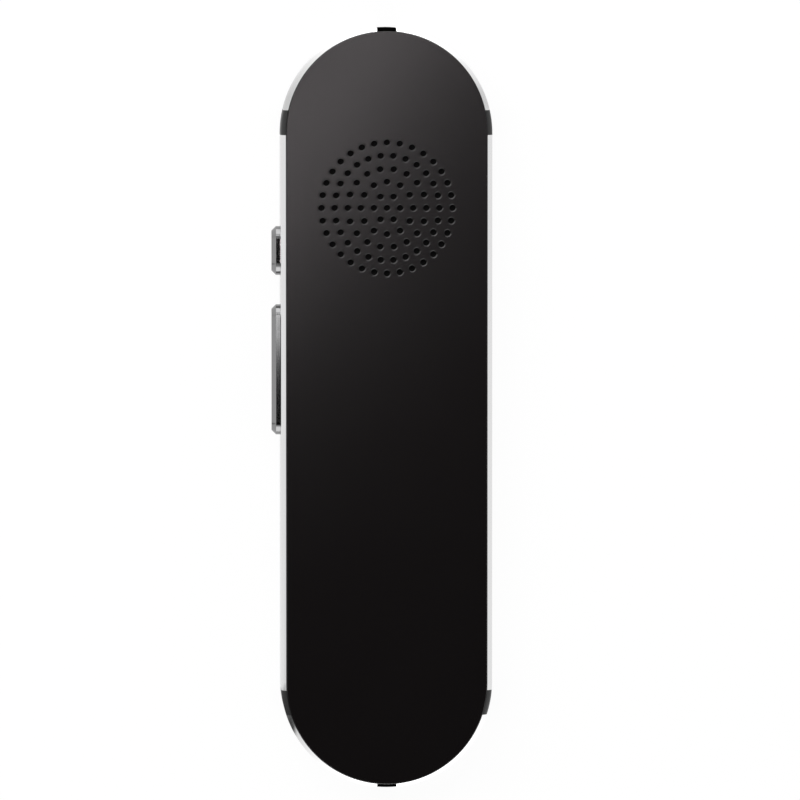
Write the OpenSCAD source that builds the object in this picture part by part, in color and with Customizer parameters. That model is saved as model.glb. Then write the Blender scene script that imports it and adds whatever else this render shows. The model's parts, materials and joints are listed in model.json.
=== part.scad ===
// Pocket voice translator: a flat bar with round ends, a metal band between two
// panels, a perforated loudspeaker grille, two side keys and two talk keys.
// It lies on its front panel: X across, Y along, Z up through the grille.

/* [Body] */
// Length over the round ends
body_length = 138; // [130:1:150]
// Width over the metal band
body_width = 38.4; // [38.4:0.2:42]
// Thickness over the two panels
body_thickness = 11.5; // [11.5:0.1:12.5]
// Thickness of the front and rear panels
panel_thickness = 1.3; // [1.1:0.1:1.4]
// Rounding of a panel's outer edge
panel_edge = 0.12; // [0.1:0.02:0.5]

/* [Metal band] */
// Thickness of the band's wall
band_wall = 1.7; // [1.5:0.1:1.9]
// Radius of the band's outer edges
band_edge = 2; // [1.8:0.1:2.4]
// Width of the band that shows beside a panel
rim_width = 1.02; // [0.9:0.02:1.1]
// How much narrower the band shows at the two ends
rim_narrowing = 0.3; // [0:0.05:0.3]
// Depth of the band's rim below the face of a panel
rim_drop = 0.5; // [0.3:0.1:0.7]
// Middle of the upper pair of plastic breaks, from the middle of the body
upper_break_y = 51.8; // [50.5:0.1:54]
// Middle of the lower pair of plastic breaks, from the middle of the body
lower_break_y = -53.5; // [-54.5:0.1:-50.5]
// Length of a break along the body
break_length = 4.5; // [2:0.1:6]
// Width of the plastic breaks in the middle of the ends
end_break_width = 3.5; // [2:0.1:5]

/* [Grille] */
// Middle of the grille, from the middle of the body
speaker_y = 36.4; // [34:0.1:38]
// Rings of holes around the middle hole
grille_ring_holes = [6, 12, 18, 26, 32];
// Distance from one ring of holes to the next
grille_pitch = 2.37; // [2:0.01:2.37]
// Diameter of a grille hole
grille_hole = 0.98; // [0.8:0.02:1.3]
// Radius of the rounded lip of a grille hole
grille_lip = 0.3; // [0.1:0.02:0.3]

/* [Side keys] */
// Middle of the power key, from the middle of the body
power_y = 28.5; // [26:0.1:29]
// Length of the power key
power_length = 8.9; // [7:0.1:9]
// Middle of the volume rocker, from the middle of the body
volume_y = 6.9; // [6:0.1:8]
// Length of the volume rocker
volume_length = 23.7; // [20:0.1:24]
// Width of both side keys
side_key_width = 4.4; // [3.6:0.1:4.6]
// How far the side keys stand out of the band
side_key_stand = 1.6; // [1.4:0.1:2]
// Bevel round the faces of the side keys
side_key_edge = 0.8; // [0.5:0.1:0.8]

/* [Talk keys] */
// Distance of each talk key from the middle of the body
talk_key_y = 12; // [11:0.1:14]
// Diameter of a talk key
talk_key_diameter = 14; // [12:0.5:14]
// Depth of a talk key's face below the front panel
talk_key_recess = 0.25; // [0.1:0.05:0.4]
// Radius of the hollow in a talk key's face
talk_key_dish = 80; // [60:5:200]

/* [Battery] */
// Width, length and thickness of the battery
battery_size = [30, 47, 3.4];
// Lower end of the battery, from the middle of the body
battery_start_y = -55; // [-55:1:-53]

/* [Hidden] */
$fn = 96;
eps = 0.5;

// Outline
half_width = body_width / 2;
straight = body_length - body_width;
end_y = straight / 2;
mid_z = body_thickness / 2;

// Levels, from the front panel up
front_inner = panel_thickness;
rear_inner = body_thickness - panel_thickness;
board_bottom = 3.4;
board_top = 4.2;
web_bottom = 5.6;
web_top = 6.4;

// Metal band and the chassis wall behind it
band_inner = half_width - band_wall;
panel_half = half_width - rim_width;
panel_straight = straight + 2 * rim_narrowing;
panel_gap = 0.1;
band_edge_x = half_width - band_edge;
band_edge_z = rim_drop + sqrt(band_edge * band_edge - pow(panel_half - band_edge_x, 2));
rib_depth = 0.3;
rib_height = 0.6;
rib_z = 2;
chassis_wall = 0.9;
chassis_inner = band_inner - chassis_wall;
joint_overlap = 0.2;

// Places and lengths of the band's pieces
far_x = body_width;
far_y = body_length;
end_gap = end_break_width / 2;
upper_break = [upper_break_y - break_length / 2, upper_break_y + break_length / 2];
lower_break = [lower_break_y - break_length / 2, lower_break_y + break_length / 2];

// Side keys: places are distances outward from the middle plane
side_key_radius = side_key_width / 2;
side_key_gap = 0.12;
side_key_face = half_width + side_key_stand;
side_key_root = band_inner - 0.6;
flange_overlap = 0.5;
flange_room = 0.15;
plunger_length = 0.95;
side_dome_height = 0.35;
side_dome_radius = 2;
flex_face = side_key_root - plunger_length - side_dome_height;
flex_thickness = 0.3;
bracket_face = flex_face - flex_thickness;
bracket_thickness = 0.5;
bracket_low_z = 2.6;
bracket_high_z = 8.9;
bracket_ends = [volume_y - 12.9, power_y + 6.7];
bracket_room = 0.45;
post_size = 1.4;
pivot_x = side_key_root - 0.75;
pivot_radius = 0.3;
pivot_gap = 0.03;
lug_radius = 0.75;
lug_half_height = 1;
pin_head = [0.5, 0.25];
ear_gap = 0.05;
ear_thickness = 0.6;
ear_radius = 0.65;
plunger_radius = 0.9;
plunger_reach = 8.6;
tail_y = 19.5;
tail_width = 3.4;
tail_thickness = 0.25;

// Talk keys
talk_key_radius = talk_key_diameter / 2;
talk_key_gap = 0.12;
talk_flange = 1;
talk_flange_top = front_inner + 0.6;
talk_dome_height = 0.35;
talk_dome_radius = 2.5;
talk_stem_radius = 1.3;
talk_guide_play = 0.15;
talk_guide_wall = 0.75;
talk_guide_height = 0.7;

// Loudspeaker
speaker_fit = 0.1;
ring_outer = 14.4;
ring_inner = 12.9;
basket_radius = 13.55;
basket_wall_radius = 12.8;
mesh_bottom = rear_inner - 0.1;
gasket_bottom = mesh_bottom - 0.3;
surround_bottom = gasket_bottom - 0.15;
flange_bottom = surround_bottom - 0.6;
basket_floor = flange_bottom - 2.45;
yoke_radius = 7;
yoke_inner = 5.9;
yoke_floor = basket_floor - 1.3;
magnet_radius = 4.6;
magnet_bottom = yoke_floor + 0.7;
plate_bottom = magnet_bottom + 1.9;
yoke_top = plate_bottom + 0.4;
coil_inner = 5;
coil_outer = 5.5;
coil_bottom = magnet_bottom + 0.9;
cone_rim = 10.75;
cone_thickness = 0.2;
cone_neck_z = surround_bottom - 0.75;
dust_cap_height = 0.55;
roll_radius = 0.6;
roll_thickness = 0.12;

// Electronics
board_half = 14.2;
board_screw_places = [for (x = [-11.2, 11.2], y = [-51, 0, 51]) [x, y]];
screw_radius = 0.6;
screw_top = 6;
boss_radius = 1.6;
shield_size = [18, 22, 1.2];
shield_at = [0, -21];
port_size = [8.94, 3.1];
port_back = end_y + 11.7;
port_depth = 7.3;
port_wall = 0.3;
port_floor = 0.5;
mouth_gap = 0.1;
bezel_size = [11.6, 5.6];
mic_y = end_y + 11.2;
mic_size = [3.5, 2.6, 0.95];
mic_channel = 0.5;
light_y = 30;
light_radius = 0.8;
light_top = 2.7;

// Leads
lead_radius = 0.35;
lead_bend = 0.8;
lead_pitch = 2;
speaker_lead_z = flange_bottom - 1.45;
speaker_lead_start = basket_radius + 0.25;
speaker_lead_run = 1;
battery_top_y = battery_start_y + battery_size[1];
battery_pad_thickness = 0.15;
battery_lead_x = 6;
battery_lead_z = 7.4;
battery_lead_run = 1.6;
connector_height = 1.2;
connector_y = battery_top_y + battery_lead_run + lead_bend;

// Hooks that hold the panels in the chassis: angle about the end or the middle, and y
hook_places = [
    [0, -40], [0, -18], [0, 8], [0, 38],
    [180, -40], [180, -18], [180, 44],
    [45, end_y], [135, end_y], [-45, -end_y], [-135, -end_y]
];
hook_width = 3;
hook_thickness = 0.8;
hook_drop = 3.3;
hook_play = 0.1;
barb_reach = 0.45;
barb_slope = 0.4;
barb_top = rear_inner - 2.2;

// ---- Shared shapes ----

// Solid of a profile carried round a bar with round ends; the profile is drawn
// at x >= 0, with its y as height
module pill(length) {
    for (turn = [0, 180])
        rotate([0, 0, turn])
            translate([0, length / 2, 0])
                rotate_extrude(angle = 180)
                    children();
    rotate([90, 0, 0])
        linear_extrude(height = length, center = true) {
            children();
            mirror([1, 0])
                children();
        }
}

// Outline of a slot with round ends, its length along x
module slot_outline(length, width) {
    square([length - width, width], center = true);
    for (side = [-1, 1])
        translate([side * (length - width) / 2, 0])
            circle(d = width);
}

// Corner left outside a quarter circle, up (side = 1) or down (side = -1)
module corner_waste(radius, side) {
    difference() {
        translate([0, side > 0 ? 0 : -radius - 1])
            square(radius + 1);
        circle(radius);
    }
}

// Shallow shell of a snap domed disc, standing on z = 0
module snap_dome(radius, height) {
    thickness = 0.1;
    sphere_radius = (radius * radius + height * height) / (2 * height);
    translate([0, 0, height - sphere_radius])
        rotate_extrude()
            intersection() {
                difference() {
                    circle(sphere_radius);
                    circle(sphere_radius - thickness);
                }
                translate([0, sphere_radius - height])
                    square([radius, height]);
            }
}

// Slab with round corners in plan
module rounded_slab(size, radius) {
    linear_extrude(height = size[2]) {
        square([size[0] - 2 * radius, size[1]], center = true);
        square([size[0], size[1] - 2 * radius], center = true);
        for (x = [-1, 1], y = [-1, 1])
            translate([x * (size[0] / 2 - radius), y * (size[1] / 2 - radius)])
                circle(radius);
    }
}

// Wire that runs out along x, bends down and drops
module lead(run, drop) {
    rotate([0, 90, 0])
        cylinder(r = lead_radius, h = run);
    translate([run, 0, -lead_bend])
        rotate([90, 0, 0])
            rotate_extrude(angle = 90)
                translate([lead_bend, 0])
                    circle(lead_radius);
    translate([run + lead_bend, 0, -lead_bend - drop])
        cylinder(r = lead_radius, h = drop);
}

// Turns what is drawn for the rear side over to the front side
module to_front() {
    translate([0, 0, body_thickness])
        mirror([0, 0, 1])
            children();
}

// Turns what is drawn upward so that it points out of the left side, at the middle height
module to_left(y) {
    translate([0, y, mid_z])
        rotate([0, -90, 0])
            children();
}

// ---- Panels ----

module panel_profile() {
    difference() {
        square([panel_half, panel_thickness]);
        translate([panel_half - panel_edge, panel_thickness - panel_edge])
            corner_waste(panel_edge, 1);
    }
}

module at_hooks() {
    for (place = hook_places)
        translate([0, place[1], 0])
            rotate([0, 0, place[0]])
                children();
}

// Hook under the rear panel that snaps into the chassis wall
module hook() {
    tab_x = chassis_inner - hook_play - hook_thickness;
    translate([tab_x, -hook_width / 2, rear_inner - hook_drop])
        cube([hook_thickness, hook_width, hook_drop + eps]);
    translate([tab_x + hook_thickness, hook_width / 2, 0])
        rotate([90, 0, 0])
            linear_extrude(height = hook_width)
                polygon([
                    [-eps, rear_inner - hook_drop], [0, rear_inner - hook_drop],
                    [barb_reach, barb_top - barb_slope], [barb_reach, barb_top], [-eps, barb_top]
                ]);
}

module hook_window() {
    translate([chassis_inner - eps, -hook_width / 2 - hook_play, rear_inner - hook_drop - hook_play])
        cube([barb_reach + eps, hook_width + 2 * hook_play, barb_top - rear_inner + hook_drop + hook_play]);
}

// One hole of the grille, with its rounded lip
module grille_cut() {
    lip_radius = grille_hole / 2 + grille_lip;
    translate([0, 0, body_thickness])
        rotate_extrude($fn = 32)
            difference() {
                translate([0, -panel_thickness - eps])
                    square([lip_radius, panel_thickness + 2 * eps]);
                translate([lip_radius, -grille_lip])
                    circle(grille_lip);
                translate([grille_hole / 2, -panel_thickness - 2 * eps])
                    square([grille_lip + eps, panel_thickness + 2 * eps - grille_lip]);
            }
}

module rear_panel() {
    color([0.12, 0.12, 0.12])
        difference() {
            union() {
                translate([0, 0, rear_inner])
                    pill(panel_straight)
                        panel_profile();
                at_hooks()
                    hook();
            }
            translate([0, speaker_y, 0]) {
                grille_cut();
                for (ring = [0 : len(grille_ring_holes) - 1], hole = [1 : grille_ring_holes[ring]])
                    rotate([0, 0, 360 * hole / grille_ring_holes[ring]])
                        translate([grille_pitch * (ring + 1), 0, 0])
                            grille_cut();
            }
        }
}

module front_panel() {
    guide_inner = talk_key_radius + talk_flange + talk_guide_play;
    color([0.12, 0.12, 0.12])
        difference() {
            union() {
                to_front() {
                    translate([0, 0, rear_inner])
                        pill(panel_straight)
                            panel_profile();
                    at_hooks()
                        hook();
                }
                // Rings that guide the talk keys
                for (side = [-1, 1])
                    translate([0, side * talk_key_y, front_inner - eps])
                        difference() {
                            cylinder(r = guide_inner + talk_guide_wall, h = talk_guide_height + eps);
                            cylinder(r = guide_inner, h = talk_guide_height + eps);
                        }
            }
            for (side = [-1, 1])
                translate([0, side * talk_key_y, -eps])
                    cylinder(r = talk_key_radius + talk_key_gap, h = panel_thickness + 2 * eps);
            translate([0, light_y, -eps])
                cylinder(r = light_radius, h = panel_thickness + 2 * eps);
        }
}

// ---- Metal band and its plastic breaks ----

module band_profile() {
    difference() {
        union() {
            translate([band_inner, rim_drop])
                square([band_wall, body_thickness - 2 * rim_drop]);
            for (z = [rib_z, body_thickness - rib_z - rib_height])
                translate([band_inner - rib_depth, z])
                    square([rib_depth + eps, rib_height]);
        }
        translate([band_edge_x, body_thickness - band_edge_z])
            corner_waste(band_edge, 1);
        translate([band_edge_x, band_edge_z])
            corner_waste(band_edge, -1);
    }
}

// The whole band, with the seats of the two panels
module band() {
    difference() {
        pill(straight)
            band_profile();
        for (z = [0, rear_inner])
            translate([0, 0, z])
                pill(panel_straight)
                    square([panel_half + panel_gap, panel_thickness]);
    }
}

// Part of the band between two corners in plan
module band_piece(low, high) {
    intersection() {
        band();
        translate([low[0], low[1], 0])
            cube([high[0] - low[0], high[1] - low[1], body_thickness]);
    }
}

// Slot through the left side for a side key
module side_opening(y, length, width, from_x, to_x) {
    translate([-to_x, y, mid_z])
        rotate([90, 0, 90])
            linear_extrude(height = to_x - from_x)
                slot_outline(length, width);
}

module left_rail() {
    color([0.85, 0.85, 0.86])
        difference() {
            band_piece([-far_x, lower_break[1]], [0, upper_break[0]]);
            for (key = [[power_y, power_length], [volume_y, volume_length]])
                side_opening(key[0], key[1] + 2 * side_key_gap, side_key_width + 2 * side_key_gap,
                    band_inner - eps, half_width + eps);
        }
}

module right_rail() {
    color([0.85, 0.85, 0.86])
        band_piece([0, lower_break[1]], [far_x, upper_break[0]]);
}

module upper_left_arc() {
    color([0.85, 0.85, 0.86])
        band_piece([-far_x, upper_break[1]], [-end_gap, far_y]);
}

module upper_right_arc() {
    color([0.85, 0.85, 0.86])
        band_piece([end_gap, upper_break[1]], [far_x, far_y]);
}

// Slot out of the lower end for the charging socket, its bezel or its shell
module port_slot(size, from_y, to_y) {
    translate([0, -from_y, mid_z])
        rotate([90, 0, 0])
            linear_extrude(height = to_y - from_y)
                slot_outline(size[0], size[1]);
}

module lower_left_arc() {
    color([0.85, 0.85, 0.86])
        difference() {
            band_piece([-far_x, -far_y], [-end_gap, lower_break[0]]);
            port_slot(bezel_size, end_y + band_inner / 2, far_y);
        }
}

module lower_right_arc() {
    color([0.85, 0.85, 0.86])
        difference() {
            band_piece([end_gap, -far_y], [far_x, lower_break[0]]);
            port_slot(bezel_size, end_y + band_inner / 2, far_y);
        }
}

module upper_left_insert() {
    color([0.3, 0.3, 0.3])
        band_piece([-far_x, upper_break[0]], [0, upper_break[1]]);
}

module upper_right_insert() {
    color([0.3, 0.3, 0.3])
        band_piece([0, upper_break[0]], [far_x, upper_break[1]]);
}

module lower_left_insert() {
    color([0.3, 0.3, 0.3])
        band_piece([-far_x, lower_break[0]], [0, lower_break[1]]);
}

module lower_right_insert() {
    color([0.3, 0.3, 0.3])
        band_piece([0, lower_break[0]], [far_x, lower_break[1]]);
}

// Microphone hole through the upper end
module mic_hole(radius, from_y, to_y) {
    translate([0, from_y, mid_z])
        rotate([-90, 0, 0])
            cylinder(r = radius, h = to_y - from_y);
}

module top_insert() {
    color([0.08, 0.08, 0.08])
        difference() {
            band_piece([-end_gap, 0], [end_gap, far_y]);
            mic_hole(mic_channel, end_y, far_y);
        }
}

// The lower break widens into the bezel of the charging socket
module bottom_insert() {
    mouth = [port_size[0] + 2 * mouth_gap, port_size[1] + 2 * mouth_gap];
    color([0.08, 0.08, 0.08])
        difference() {
            union() {
                band_piece([-end_gap, -far_y], [end_gap, 0]);
                intersection() {
                    band();
                    port_slot(bezel_size, end_y + band_inner / 2, far_y);
                }
            }
            port_slot(mouth, end_y, far_y);
        }
}

// ---- Chassis ----

// Wall behind the band, with grooves for the band's ribs
module chassis_wall_profile() {
    difference() {
        translate([chassis_inner, front_inner])
            square([chassis_wall, rear_inner - front_inner]);
        for (z = [rib_z, body_thickness - rib_z - rib_height])
            translate([band_inner - rib_depth, z])
                square([rib_depth + eps, rib_height]);
    }
}

module web() {
    bracket_way = 2.6;
    battery_lead_way = [4.6, 3.6];
    speaker_lead_way = [4.8, 2.2];
    microphone_way = [6, 2.4];
    port_way = [10.8, 0.5];
    difference() {
        translate([0, 0, web_bottom])
            pill(straight)
                square([chassis_inner + joint_overlap, web_top - web_bottom]);
        translate([0, speaker_y, 0])
            cylinder(r = ring_inner, h = body_thickness);
        // Room for the side keys' bracket
        translate([-chassis_inner, bracket_ends[0], 0])
            cube([bracket_way, bracket_ends[1] - bracket_ends[0], body_thickness]);
        // Ways through for the leads
        translate([battery_lead_x - battery_lead_way[0] / 2, connector_y - battery_lead_way[1] / 2, 0])
            cube([battery_lead_way[0], battery_lead_way[1], body_thickness]);
        translate([-speaker_lead_way[0] / 2, speaker_y - ring_outer - speaker_lead_way[1], 0])
            cube([speaker_lead_way[0], speaker_lead_way[1] + eps, body_thickness]);
        // Room for the microphone and for the charging socket
        translate([-microphone_way[0] / 2, mic_y - microphone_way[1], 0])
            cube([microphone_way[0], end_y, body_thickness]);
        translate([-port_way[0] / 2, -body_length, 0])
            cube([port_way[0], body_length - port_back + port_way[1], body_thickness]);
    }
}

// Ring that carries the loudspeaker and holds up the rear panel
module speaker_seat() {
    lead_notch = [4.8, 3];
    translate([0, speaker_y, 0])
        difference() {
            translate([0, 0, web_bottom])
                cylinder(r = ring_outer, h = rear_inner - web_bottom);
            cylinder(r = ring_inner, h = body_thickness);
            translate([0, 0, flange_bottom])
                cylinder(r = basket_radius, h = body_thickness);
            translate([-lead_notch[0] / 2, -ring_outer - eps, web_top])
                cube([lead_notch[0], lead_notch[1], flange_bottom - web_top]);
        }
}

// Posts for the ends of the side keys' bracket, which slides into grooves in them
module bracket_posts() {
    post_inner = bracket_face - bracket_thickness - bracket_room;
    post_outer = chassis_inner + joint_overlap;
    for (end = bracket_ends)
        translate([-post_outer, end - post_size, front_inner])
            cube([post_outer - post_inner, 2 * post_size, rear_inner - front_inner]);
}

// Ribs at the two ends of the battery; the upper one stops short of the leads
module battery_ribs() {
    gap = 0.1;
    thickness = 0.8;
    height = 1.6;
    lower_half = 10;
    upper_span = [-12, 2];
    translate([-lower_half, battery_start_y - gap - thickness, web_top - joint_overlap])
        cube([2 * lower_half, thickness, height + joint_overlap]);
    translate([upper_span[0], battery_top_y + gap, web_top - joint_overlap])
        cube([upper_span[1] - upper_span[0], thickness, height + joint_overlap]);
}

module chassis() {
    color([0.22, 0.23, 0.24])
        difference() {
            union() {
                pill(straight)
                    chassis_wall_profile();
                web();
                speaker_seat();
                bracket_posts();
                for (place = board_screw_places)
                    translate([place[0], place[1], board_top])
                        cylinder(r = boss_radius, h = web_bottom - board_top + joint_overlap);
                battery_ribs();
            }
            for (place = board_screw_places)
                translate([place[0], place[1], 0])
                    cylinder(r = screw_radius, h = screw_top);
            for (key = [[power_y, power_length], [volume_y, volume_length]])
                side_opening(key[0], key[1] + 2 * flange_overlap + 2 * flange_room,
                    side_key_width + 2 * flange_overlap + 2 * flange_room,
                    chassis_inner - eps, band_inner + eps);
            bracket_plate();
            mic_hole(mic_channel + mouth_gap, end_y, far_y);
            port_slot([port_size[0] + 2 * mouth_gap, port_size[1] + 2 * mouth_gap], end_y, far_y);
            at_hooks()
                hook_window();
            to_front()
                at_hooks()
                    hook_window();
        }
}

// ---- Side keys ----

// Bar of a side key, with a bevel all round its face
module side_key_bar(length) {
    pill(length - side_key_width)
        polygon([
            [0, side_key_root], [side_key_radius, side_key_root],
            [side_key_radius, side_key_face - side_key_edge],
            [side_key_radius - side_key_edge, side_key_face], [0, side_key_face]
        ]);
}

module plunger() {
    translate([0, 0, flex_face + side_dome_height])
        cylinder(r = plunger_radius, h = side_key_root - flex_face - side_dome_height + eps);
}

module power_button() {
    color([0.8, 0.8, 0.81])
        to_left(power_y) {
            side_key_bar(power_length);
            pill(power_length - side_key_width)
                translate([0, side_key_root])
                    square([side_key_radius + flange_overlap, band_inner - side_key_root]);
            plunger();
        }
}

module volume_rocker() {
    color([0.8, 0.8, 0.81]) {
        difference() {
            union() {
                to_left(volume_y) {
                    side_key_bar(volume_length);
                    for (side = [-1, 1])
                        translate([0, side * plunger_reach, 0])
                            plunger();
                }
                // Lug on the pivot pin
                translate([-pivot_x, volume_y, mid_z - lug_half_height])
                    cylinder(r = lug_radius, h = 2 * lug_half_height);
                translate([-side_key_root - eps, volume_y - lug_radius, mid_z - lug_half_height])
                    cube([side_key_root - pivot_x + eps, 2 * lug_radius, 2 * lug_half_height]);
            }
            translate([-pivot_x, volume_y, mid_z - 2 * lug_half_height])
                cylinder(r = pivot_radius + pivot_gap, h = 4 * lug_half_height);
        }
    }
}

module volume_pin() {
    reach = lug_half_height + ear_gap + ear_thickness;
    color([0.7, 0.7, 0.72])
        translate([-pivot_x, volume_y, mid_z - reach]) {
            cylinder(r = pivot_radius, h = 2 * reach);
            translate([0, 0, 2 * reach])
                cylinder(r = pin_head[0], h = pin_head[1]);
        }
}

module side_dome() {
    translate([0, 0, flex_face])
        snap_dome(side_dome_radius, side_dome_height);
}

module power_dome() {
    color([0.75, 0.75, 0.75])
        to_left(power_y)
            side_dome();
}

module volume_domes() {
    color([0.75, 0.75, 0.75])
        for (side = [-1, 1])
            to_left(volume_y + side * plunger_reach)
                side_dome();
}

module side_key_flex() {
    strip_half = 2.05;
    ear_play = 0.15;
    window_half = [1.3, lug_half_height + ear_gap + ear_thickness + ear_play];
    margins = [0.7, 2.7];
    strip_start = volume_y - plunger_reach - side_dome_radius - margins[0];
    strip_end = power_y + side_dome_radius + margins[1];
    tail_reach = 1.6;
    color([0.75, 0.5, 0.2])
        difference() {
            union() {
                translate([-flex_face, strip_start, mid_z - strip_half])
                    cube([flex_thickness, strip_end - strip_start, 2 * strip_half]);
                // Tail that runs onto the board
                translate([-flex_face, tail_y - tail_width / 2, board_top])
                    cube([flex_face - board_half + tail_reach, tail_width, tail_thickness]);
            }
            translate([-flex_face - eps, volume_y - window_half[0], mid_z - window_half[1]])
                cube([flex_thickness + 2 * eps, 2 * window_half[0], 2 * window_half[1]]);
        }
}

// Outline of the bracket's plate, its end tabs reach up to the rear panel
module bracket_plate() {
    tab = post_size - joint_overlap;
    plate_length = bracket_ends[1] - bracket_ends[0] + 2 * tab;
    translate([-bracket_face, bracket_ends[0] - tab, bracket_low_z])
        cube([bracket_thickness, plate_length, bracket_high_z - bracket_low_z]);
    for (y = [bracket_ends[0] - tab, bracket_ends[1]])
        translate([-bracket_face, y, bracket_low_z])
            cube([bracket_thickness, tab, rear_inner - bracket_low_z]);
}

module side_key_bracket() {
    color([0.6, 0.6, 0.62])
        difference() {
            union() {
                bracket_plate();
                // Ears that carry the pivot pin
                for (side = [-1, 1])
                    translate([-pivot_x, volume_y,
                        mid_z + side * (lug_half_height + ear_gap + ear_thickness / 2)]) {
                        cylinder(r = ear_radius, h = ear_thickness, center = true);
                        translate([0, -ear_radius, -ear_thickness / 2])
                            cube([pivot_x - bracket_face + joint_overlap, 2 * ear_radius, ear_thickness]);
                    }
            }
            translate([-pivot_x, volume_y, mid_z])
                cylinder(r = pivot_radius, h = bracket_high_z - bracket_low_z, center = true);
            // Notch for the tail of the flexible circuit
            translate([-bracket_face - eps, tail_y - tail_width / 2, board_top])
                cube([bracket_thickness + 2 * eps, tail_width, tail_thickness]);
        }
}

// ---- Talk keys and status light ----

module talk_key(y) {
    edge = 0.3;
    dish_depth = 0.3;
    translate([0, y, 0])
        difference() {
            rotate_extrude() {
                difference() {
                    translate([0, talk_key_recess])
                        square([talk_key_radius, talk_flange_top - talk_key_recess]);
                    translate([talk_key_radius - edge, talk_key_recess + edge])
                        corner_waste(edge, -1);
                }
                translate([0, front_inner])
                    square([talk_key_radius + talk_flange, talk_flange_top - front_inner]);
                translate([0, front_inner])
                    square([talk_stem_radius, board_bottom - talk_dome_height - front_inner]);
            }
            translate([0, 0, talk_key_recess + dish_depth - talk_key_dish])
                sphere(talk_key_dish, $fn = 360);
        }
}

module key_a() {
    color([0.16, 0.16, 0.17])
        talk_key(talk_key_y);
}

module key_b() {
    color([0.16, 0.16, 0.17])
        talk_key(-talk_key_y);
}

module talk_dome(y) {
    translate([0, y, board_bottom])
        mirror([0, 0, 1])
            snap_dome(talk_dome_radius, talk_dome_height);
}

module key_a_dome() {
    color([0.75, 0.75, 0.75])
        talk_dome(talk_key_y);
}

module key_b_dome() {
    color([0.75, 0.75, 0.75])
        talk_dome(-talk_key_y);
}

module status_light() {
    size = [1.6, 0.8];
    color([0.9, 0.9, 0.8])
        translate([-size[0] / 2, light_y - size[1] / 2, light_top])
            cube([size[0], size[1], board_bottom - light_top]);
}

module light_pipe() {
    recess = 0.1;
    collar = [light_radius + 0.6, 0.4];
    color([0.85, 0.88, 0.9])
        translate([0, light_y, 0])
            rotate_extrude() {
                translate([0, recess])
                    square([light_radius, light_top - recess]);
                translate([0, front_inner])
                    square(collar);
            }
}

// ---- Loudspeaker ----

module speaker_mesh() {
    color([0.05, 0.05, 0.05])
        translate([0, speaker_y, mesh_bottom])
            cylinder(r = basket_radius - speaker_fit, h = rear_inner - mesh_bottom);
}

module speaker_gasket() {
    width = 0.95;
    outer = basket_radius - speaker_fit;
    height = mesh_bottom - gasket_bottom;
    color([0.1, 0.1, 0.1])
        translate([0, speaker_y, gasket_bottom])
            difference() {
                cylinder(r = outer, h = height);
                translate([0, 0, -eps])
                    cylinder(r = outer - width, h = height + 2 * eps);
            }
}

module speaker_basket() {
    wall = 0.5;
    inner = basket_wall_radius - wall;
    vent_radius = 1.6;
    block = [4, 1];
    color([0.2, 0.2, 0.2])
        translate([0, speaker_y, 0])
            difference() {
                union() {
                    rotate_extrude()
                        polygon([
                            [yoke_radius, basket_floor], [basket_wall_radius, basket_floor],
                            [basket_wall_radius, flange_bottom], [basket_radius, flange_bottom],
                            [basket_radius, surround_bottom], [inner, surround_bottom],
                            [inner, basket_floor + wall], [yoke_radius, basket_floor + wall]
                        ]);
                    // Block where the leads are soldered
                    translate([-block[0] / 2, -speaker_lead_start, speaker_lead_z - block[1] / 2])
                        cube([block[0], speaker_lead_start - inner - joint_overlap, block[1]]);
                }
                for (turn = [0 : 5])
                    rotate([0, 0, 60 * turn])
                        translate([(yoke_radius + inner) / 2, 0, basket_floor - eps])
                            cylinder(r = vent_radius, h = wall + 2 * eps);
            }
}

module speaker_yoke() {
    color([0.55, 0.56, 0.58])
        translate([0, speaker_y, 0])
            rotate_extrude()
                polygon([
                    [0, yoke_floor], [yoke_radius, yoke_floor], [yoke_radius, yoke_top],
                    [yoke_inner, yoke_top], [yoke_inner, magnet_bottom], [0, magnet_bottom]
                ]);
}

module speaker_magnet() {
    color([0.65, 0.65, 0.67])
        translate([0, speaker_y, magnet_bottom])
            cylinder(r = magnet_radius, h = plate_bottom - magnet_bottom);
}

module speaker_plate() {
    color([0.55, 0.56, 0.58])
        translate([0, speaker_y, plate_bottom])
            cylinder(r = magnet_radius, h = yoke_top - plate_bottom);
}

module voice_coil() {
    color([0.72, 0.42, 0.2])
        translate([0, speaker_y, coil_bottom])
            difference() {
                cylinder(r = coil_outer, h = cone_neck_z - coil_bottom);
                translate([0, 0, -eps])
                    cylinder(r = coil_inner, h = cone_neck_z - coil_bottom + 2 * eps);
            }
}

module speaker_cone() {
    cap_sphere = (coil_outer * coil_outer + dust_cap_height * dust_cap_height) / (2 * dust_cap_height);
    rim_width = 0.4;
    rim_start = cone_rim - rim_width;
    rim_z = surround_bottom - cone_neck_z;
    color([0.15, 0.15, 0.16])
        translate([0, speaker_y, cone_neck_z])
            rotate_extrude() {
                polygon([
                    [coil_inner, 0], [coil_outer, 0],
                    [rim_start, rim_z - cone_thickness], [cone_rim, rim_z - cone_thickness],
                    [cone_rim, rim_z], [rim_start, rim_z],
                    [coil_outer, cone_thickness], [coil_inner, cone_thickness]
                ]);
                // Dust cap
                translate([0, dust_cap_height - cap_sphere])
                    intersection() {
                        difference() {
                            circle(cap_sphere);
                            circle(cap_sphere - cone_thickness);
                        }
                        translate([0, cap_sphere - dust_cap_height])
                            square([coil_outer, dust_cap_height]);
                    }
            }
}

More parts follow.
